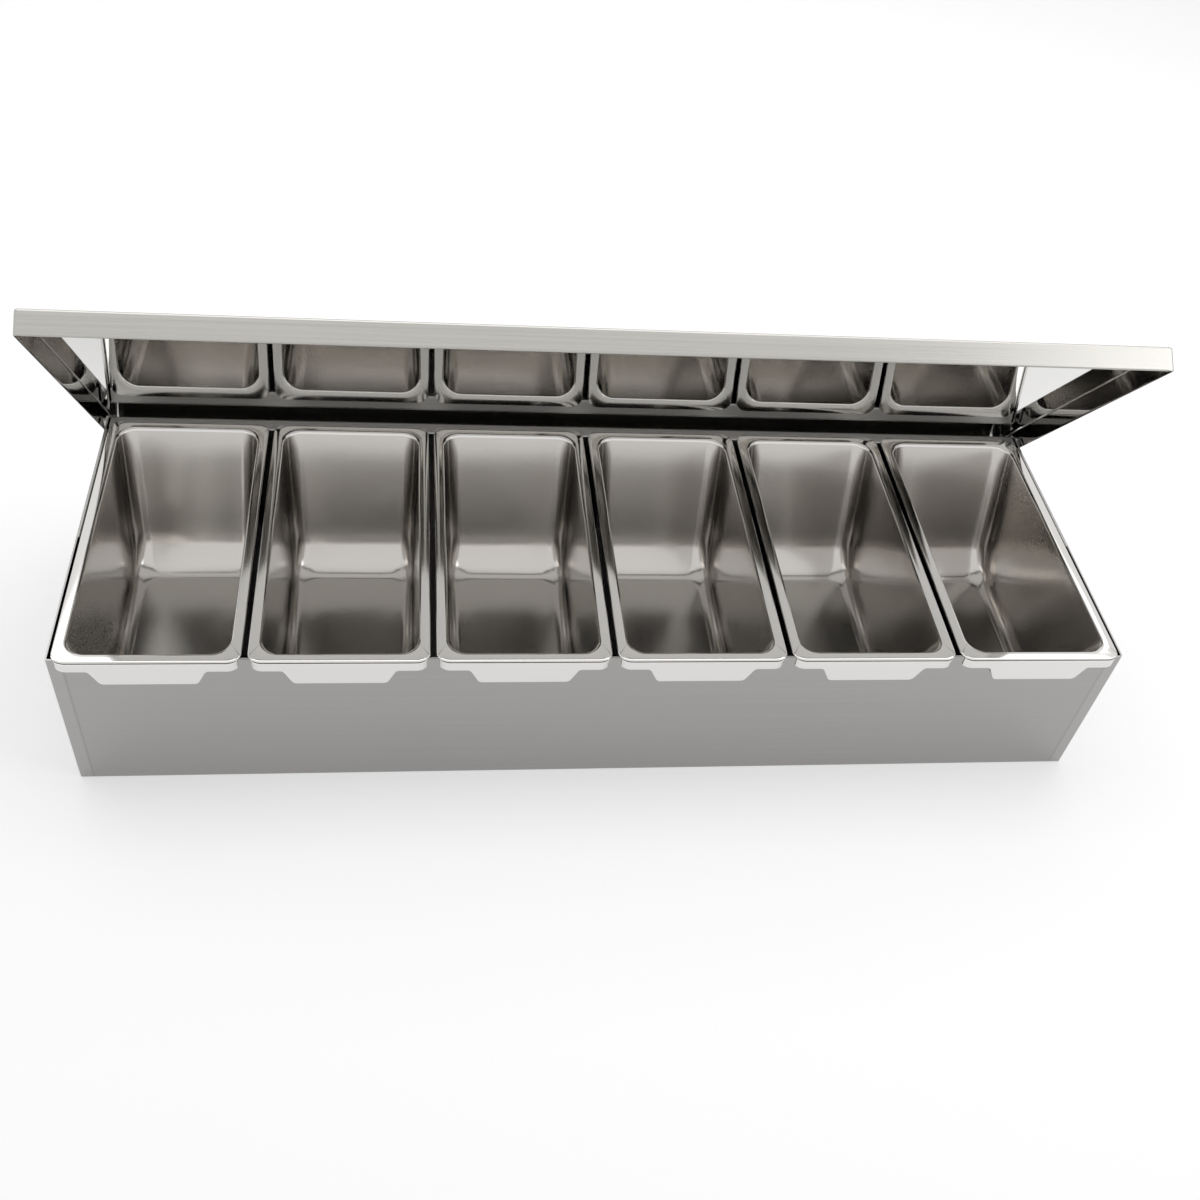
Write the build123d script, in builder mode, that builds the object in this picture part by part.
"""Bar garnish tray: a folded sheet case, six drawn lift-out pans and a hinged tray lid.

Millimetres. +X runs along the row of pans, +Y from front to back, +Z up.
The origin is the centre of the case's underside. The lid is stored half open.
"""

from build123d import *
from math import cos, radians, sin, tan
import os

os.makedirs("parts", exist_ok=True)

# Pans: one drawn sheet each, hung by a flat rim
pan_count = 6
pan_gap = 3.0
pan_sheet = 0.8
rim_width = 105.0
rim_length = 216.0
rim_corner = 8.5
flange_width = 7.0
pan_depth = 92.0
end_draft = 22.0
side_draft = 2.5
end_floor_radius = 28.0
side_floor_radius = 9.0
pan_corner = 12.0
opening_break = 1.0
rim_edge_break = 0.4
side_lip_drop = 2.8
front_lip_drop = 7.8
tab_drop = 10.9
tab_root_width = 65.0
tab_tip_width = 54.0
tab_tip_radius = 3.5

# Case: two folded wraps round a floor sheet
case_sheet = 1.0
case_bend = 1.6
hem_drop = 8.0
hem_round = 0.6
floor_gap = 17.5
side_gap = 0.5
rim_overhang = 3.2
rim_rear_gap = 4.2
front_wrap_run = 100.0
seam_gap = 0.3
lap_run = 12.0
lap_clear = 2.0
floor_flange = 12.0
corner_relief = 3.0
ledge_bearing = 5.0
ledge_lip_drop = 6.0
ledge_leg_drop = 15.0
ledge_bend = 0.8

# Lid: a shallow folded tray, stored at the angle of the photograph
lid_sheet = 0.8
lid_skirt = 15.0
lid_bend = 1.6
lid_corner = 2.0
lid_hem = 6.0
lid_rim_gap = 0.9
lid_front_gap = 2.0
lid_rear_gap = 2.2
lid_open = 53.0

# Hinge: an ear inside each side skirt turns on a rivet through the side wall
pivot_inset = 8.0
pivot_drop = 24.0
ear_sheet = 1.0
ear_radius = 8.0
ear_corner = 2.0
rivet_radius = 2.0
rivet_head_radius = 4.5
rivet_head_height = 1.5
rivet_head_slope = 1.0
rivet_tail_radius = 3.4
rivet_tail_height = 1.2
washer_radius = 5.5
washer_sheet = 0.4
tail_washer_sheet = 0.8
hinge_play = 0.1
hole_clear = 0.05

# Worked out from the values above
pan_pitch = rim_width + pan_gap
pan_row = pan_count * rim_width + (pan_count - 1) * pan_gap
hem_thick = 2 * case_sheet
case_width = pan_row + 2 * (side_gap + hem_thick)
case_depth = rim_length - rim_overhang + rim_rear_gap + case_sheet
case_height = case_sheet + floor_gap + pan_depth
front_y = -case_depth / 2
rear_y = case_depth / 2
wall_x = case_width / 2
rim_front_y = front_y - rim_overhang
rim_rear_y = rim_front_y + rim_length
rim_mid_y = (rim_front_y + rim_rear_y) / 2
rim_under_z = case_height
rim_top_z = rim_under_z + pan_sheet
ledge_front_y = rim_rear_y - ledge_bearing


def save(built, name):
    """Label a finished piece and write it as one STEP file."""
    built.part.label = name
    export_step(built.part, f"parts/{name}.step")


def folded_wrap(near_y, far_y, wall_at):
    """A U of sheet: two wings and one wall, with the wall at the first or last Y."""
    mid_y = (near_y + far_y) / 2
    run = far_y - near_y
    shift = case_sheet / 2 if wall_at == 0 else -case_sheet / 2
    with BuildPart() as wrap:
        with BuildSketch() as outside:
            with Locations((0, mid_y)):
                Rectangle(case_width, run)
            fillet(outside.vertices().group_by(Axis.Y)[wall_at], case_bend)
        extrude(amount=case_height)
        with BuildSketch() as inside:
            with Locations((0, mid_y + shift)):
                Rectangle(case_width - 2 * case_sheet, run - case_sheet)
            fillet(inside.vertices().group_by(Axis.Y)[wall_at], case_bend - case_sheet)
        extrude(amount=case_height, mode=Mode.SUBTRACT)
    return wrap.part


def hem(start, run):
    """The folded-back edge inside a wall that runs along start's normal."""
    with BuildPart() as strip:
        with BuildSketch(start) as section:
            Rectangle(case_sheet, hem_drop, align=(Align.MIN, Align.MAX))
            top_corners = section.vertices().group_by(Axis.Y)[-1]
            fillet(top_corners.sort_by(Axis.X)[-1], hem_round)
        extrude(amount=run)
    return strip.part


# The front wrap ends in two tongues that lap inside the rear wrap's wings
seam_y = front_y + front_wrap_run
front_wing_end = seam_y - seam_gap / 2
inner_x = wall_x - case_sheet
front_hem_run = 2 * (inner_x - corner_relief)
front_hem_start = Plane(
    origin=(-front_hem_run / 2, front_y + case_sheet, case_height),
    x_dir=(0, 1, 0),
    z_dir=(1, 0, 0),
)
tongue_low_z = floor_flange + lap_clear
tongue_high_z = case_height - hem_drop - lap_clear
front_walls = folded_wrap(front_y, front_wing_end, 0)
front_hem = hem(front_hem_start, front_hem_run)
with BuildPart() as front_wrap:
    add(front_walls)
    add(front_hem)
    with BuildSketch(Plane.XY.offset(tongue_low_z)):
        for side in (-1, 1):
            with Locations((side * (inner_x - case_sheet / 2), seam_y)):
                Rectangle(case_sheet, 2 * lap_run)
    extrude(amount=tongue_high_z - tongue_low_z)
save(front_wrap, "front_wrap")

# The rear wrap has a folded hem along the top of each wing and the hinge holes
rear_wing_start = seam_y + seam_gap / 2
side_hem_run = ledge_front_y - rear_wing_start - corner_relief
pivot_y = rear_y - pivot_inset
pivot_z = case_height - pivot_drop
right_hem_start = Plane(
    origin=(inner_x, rear_wing_start, case_height), x_dir=(-1, 0, 0), z_dir=(0, 1, 0)
)
rear_walls = folded_wrap(rear_wing_start, rear_y, -1)
right_hem = hem(right_hem_start, side_hem_run)
with BuildPart() as rear_wrap:
    add(rear_walls)
    add(right_hem)
    add(mirror(right_hem, about=Plane.YZ, mode=Mode.PRIVATE))
    with BuildSketch(Plane.YZ.offset(-wall_x)):
        with Locations((pivot_y, pivot_z)):
            Circle(rivet_radius + hole_clear)
    extrude(amount=case_width, mode=Mode.SUBTRACT)
save(rear_wrap, "rear_wrap")

# The floor sheet, with a flange turned up along each edge and open corners
floor_x = inner_x
floor_y = rear_y - case_sheet
with BuildPart() as base:
    with BuildSketch():
        RectangleRounded(2 * floor_x, 2 * floor_y, case_bend)
    extrude(amount=case_sheet)
    with BuildSketch():
        for side in (-1, 1):
            with Locations((side * (floor_x - case_sheet / 2), 0)):
                Rectangle(case_sheet, 2 * (floor_y - corner_relief))
            with Locations((0, side * (floor_y - case_sheet / 2))):
                Rectangle(2 * (floor_x - corner_relief), case_sheet)
    extrude(amount=floor_flange)
save(base, "base")

# The ledge under the rear rims: a top, a stiffening lip and a leg on the rear wall
ledge_outline = [
    (floor_y, case_height),
    (ledge_front_y, case_height),
    (ledge_front_y, case_height - ledge_lip_drop),
    (ledge_front_y + case_sheet, case_height - ledge_lip_drop),
    (ledge_front_y + case_sheet, case_height - case_sheet),
    (floor_y - case_sheet, case_height - case_sheet),
    (floor_y - case_sheet, case_height - ledge_leg_drop),
    (floor_y, case_height - ledge_leg_drop),
]
with BuildPart() as rear_ledge:
    with BuildSketch(Plane.YZ.offset(-pan_row / 2)) as ledge_section:
        with BuildLine():
            Polyline(*ledge_outline, close=True)
        make_face()
        upper = ledge_section.vertices().group_by(Axis.Y)[-1]
        fillet(upper.sort_by(Axis.X)[0], ledge_bend)
    extrude(amount=pan_row)
save(rear_ledge, "rear_ledge")


def tapered_face(plane, half_top, half_floor, top_z, floor_z):
    """A trapezoid that narrows from the rim to the floor."""
    with BuildSketch(plane) as face:
        with BuildLine():
            Polyline(
                (-half_top, top_z),
                (-half_floor, floor_z),
                (half_floor, floor_z),
                (half_top, top_z),
                close=True,
            )
        make_face()
    return face.sketch


def floor_corners(plane, half_floor, floor_z, draft, radius):
    """The two slivers that a rounded floor edge leaves out of a tapered profile."""
    half_turn = radians(90 - draft) / 2
    reach = radius + pan_corner
    wall_side = (reach * sin(2 * half_turn), -reach * cos(2 * half_turn))
    with BuildSketch(plane) as corners:
        with Locations((half_floor - radius * tan(half_turn), floor_z + radius)):
            Polygon(
                (0, 0), (0, -reach), (reach * tan(half_turn), -reach), wall_side, align=None
            )
            Circle(radius, mode=Mode.SUBTRACT)
        mirror(about=Plane.YZ)
    return corners.sketch


def drawn_body(grow, top_z):
    """The tapered drawn form up to top_z, with every face moved out by grow."""
    floor_z = rim_top_z - pan_depth - grow
    length_slope = tan(radians(end_draft))
    width_slope = tan(radians(side_draft))
    half_length = rim_length / 2 - flange_width + grow / cos(radians(end_draft))
    half_width = rim_width / 2 - flange_width + grow / cos(radians(side_draft))
    top_length = half_length - (rim_top_z - top_z) * length_slope
    top_width = half_width - (rim_top_z - top_z) * width_slope
    floor_length = half_length - (rim_top_z - floor_z) * length_slope
    floor_width = half_width - (rim_top_z - floor_z) * width_slope
    from_side = Plane(origin=(0, rim_mid_y, 0), x_dir=(0, 1, 0), z_dir=(1, 0, 0))
    from_front = Plane(origin=(0, rim_mid_y, 0), x_dir=(1, 0, 0), z_dir=(0, -1, 0))
    end_radius = end_floor_radius + grow
    side_radius = side_floor_radius + grow
    side_view = tapered_face(from_side, top_length, floor_length, top_z, floor_z)
    front_view = tapered_face(from_front, top_width, floor_width, top_z, floor_z)
    end_cuts = floor_corners(from_side, floor_length, floor_z, end_draft, end_radius)
    side_cuts = floor_corners(from_front, floor_width, floor_z, side_draft, side_radius)
    with BuildPart() as body:
        extrude(side_view, amount=rim_width, both=True)
        extrude(front_view, amount=rim_length, both=True, mode=Mode.INTERSECT)
        upright_edges = body.edges().group_by(Axis.Z)[1]
        fillet(upright_edges, pan_corner + grow)
        extrude(end_cuts, amount=rim_width, both=True, mode=Mode.SUBTRACT)
        extrude(side_cuts, amount=rim_length, both=True, mode=Mode.SUBTRACT)
    return body.part


def rim_band(start_y, end_y):
    """The plan of the turned-down rim edge between two places along Y."""
    with BuildSketch() as band:
        with Locations((0, rim_mid_y)):
            RectangleRounded(rim_width, rim_length, rim_corner)
            inner_width = rim_width - 2 * pan_sheet
            inner_length = rim_length - 2 * pan_sheet
            inner_corner = rim_corner - pan_sheet
            RectangleRounded(inner_width, inner_length, inner_corner, mode=Mode.SUBTRACT)
        with Locations((0, (start_y + end_y) / 2)):
            Rectangle(rim_width, end_y - start_y, mode=Mode.INTERSECT)
    return band.sketch


# One pan: body, rim, lips and tab, hollowed last
hem_back_y = front_y + hem_thick
lip_bottom_z = rim_top_z - front_lip_drop
tab_bottom_z = lip_bottom_z - tab_drop
front_band = rim_band(rim_front_y, front_y - side_gap)
side_bands = rim_band(hem_back_y + side_gap, ledge_front_y - side_gap)
outer_body = drawn_body(pan_sheet, rim_under_z)
inner_body = drawn_body(0, rim_top_z)
with BuildPart() as drawn_pan:
    with BuildSketch(Plane.XY.offset(rim_under_z)):
        with Locations((0, rim_mid_y)):
            RectangleRounded(rim_width, rim_length, rim_corner)
    extrude(amount=pan_sheet)
    over_rim = drawn_pan.faces().sort_by(Axis.Z)[-1]
    chamfer(over_rim.edges(), rim_edge_break)
    add(outer_body)
    with BuildSketch(Plane.XY.offset(rim_under_z)):
        add(front_band)
    extrude(amount=lip_bottom_z - rim_under_z)
    with BuildSketch(Plane.XY.offset(rim_under_z)):
        add(side_bands)
    extrude(amount=pan_sheet - side_lip_drop)
    with BuildSketch(Plane.XZ.offset(-rim_front_y)) as tab_face:
        with BuildLine():
            Polyline(
                (-tab_root_width / 2, lip_bottom_z),
                (-tab_tip_width / 2, tab_bottom_z),
                (tab_tip_width / 2, tab_bottom_z),
                (tab_root_width / 2, lip_bottom_z),
                close=True,
            )
        make_face()
        fillet(tab_face.vertices().group_by(Axis.Y)[0], tab_tip_radius)
    extrude(amount=-pan_sheet)
    add(inner_body, mode=Mode.SUBTRACT)
    over_rim = drawn_pan.faces().filter_by(Axis.Z).sort_by(Axis.Z)[-1]
    chamfer(over_rim.inner_wires()[0].edges(), opening_break)

for number in range(pan_count):
    pan_x = (number - (pan_count - 1) / 2) * pan_pitch
    with BuildPart() as pan:
        with Locations((pan_x, 0, 0)):
            add(drawn_pan.part)
    save(pan, f"pan_{number + 1}")

# The lid is drawn in the hinge's own axes: x along the pivot, y back, z off the lid
lift = radians(lid_open)
hinge_plane = Plane(
    origin=(0, pivot_y, pivot_z), x_dir=(1, 0, 0), z_dir=(0, sin(lift), cos(lift))
)
wall_to_skirt = washer_sheet + ear_sheet + hinge_play
lid_half = wall_x + wall_to_skirt + lid_sheet
lid_under = rim_top_z + lid_rim_gap - pivot_z
lid_top = lid_under + lid_sheet
lid_rear = rear_y + lid_rear_gap + lid_sheet - pivot_y
lid_front = rim_front_y - lid_front_gap - 2 * lid_sheet - pivot_y
skirt_edge = lid_top - lid_skirt
with BuildPart() as lid:
    with BuildSketch(hinge_plane.offset(skirt_edge)):
        with Locations((0, (lid_front + lid_rear) / 2)):
            RectangleRounded(2 * lid_half, lid_rear - lid_front, lid_corner)
    extrude(amount=lid_skirt)
    panel = lid.faces().sort_by(Axis(hinge_plane.origin, hinge_plane.z_dir))[-1]
    fillet(panel.edges(), lid_bend)
    mouth = lid.faces().sort_by(Axis(hinge_plane.origin, hinge_plane.z_dir))[0]
    offset(amount=-lid_sheet, openings=mouth)
    with BuildSketch(hinge_plane.offset(skirt_edge)):
        with Locations((0, lid_front + lid_sheet * 3 / 2)):
            Rectangle(2 * (lid_half - lid_sheet - corner_relief), lid_sheet)
    extrude(amount=lid_hem)
save(lid, "lid")


def across(distance, side):
    """The plane across the hinge axis at a distance from the middle, facing out."""
    return Plane(
        origin=(side * distance, pivot_y, pivot_z),
        x_dir=(0, side, 0),
        z_dir=(side, 0, 0),
    )


tail_x = inner_x - tail_washer_sheet
ear_x = wall_x + washer_sheet + hinge_play
head_x = ear_x + ear_sheet + hinge_play
ear_top = lid_under - lid_bend
for side, hand in ((-1, "left"), (1, "right")):
    ear_plane = Plane(
        origin=hinge_plane.origin + Vector(side * ear_x, 0, 0),
        x_dir=hinge_plane.y_dir * side,
        z_dir=(side, 0, 0),
    )
    with BuildPart() as ear:
        with BuildSketch(ear_plane) as ear_face:
            with BuildLine():
                Polyline(
                    (-ear_radius, 0),
                    (-ear_radius, ear_top),
                    (ear_radius, ear_top),
                    (ear_radius, 0),
                    close=True,
                )
            make_face()
            fillet(ear_face.vertices().group_by(Axis.Y)[-1], ear_corner)
            Circle(ear_radius)
            Circle(rivet_radius + hole_clear, mode=Mode.SUBTRACT)
        extrude(amount=ear_sheet)
    save(ear, f"hinge_ear_{hand}")

    with BuildPart() as rivet:
        with BuildSketch(across(tail_x, side)):
            Circle(rivet_tail_radius)
        extrude(amount=-rivet_tail_height)
        with BuildSketch(across(tail_x, side)):
            Circle(rivet_radius)
        extrude(amount=head_x - tail_x)
        with BuildSketch(across(head_x, side)):
            Circle(rivet_head_radius)
        extrude(amount=rivet_head_height)
        head_edge = rivet.edges().filter_by(GeomType.CIRCLE).sort_by(Axis.X)
        chamfer(head_edge[-1 if side > 0 else 0], rivet_head_slope)
    save(rivet, f"hinge_rivet_{hand}")

    with BuildPart() as outer_washer:
        with BuildSketch(across(wall_x, side)):
            Circle(washer_radius)
            Circle(rivet_radius + hole_clear, mode=Mode.SUBTRACT)
        extrude(amount=washer_sheet)
    save(outer_washer, f"outer_washer_{hand}")

    with BuildPart() as inner_washer:
        with BuildSketch(across(tail_x, side)):
            Circle(washer_radius)
            Circle(rivet_radius + hole_clear, mode=Mode.SUBTRACT)
        extrude(amount=tail_washer_sheet)
    save(inner_washer, f"inner_washer_{hand}")
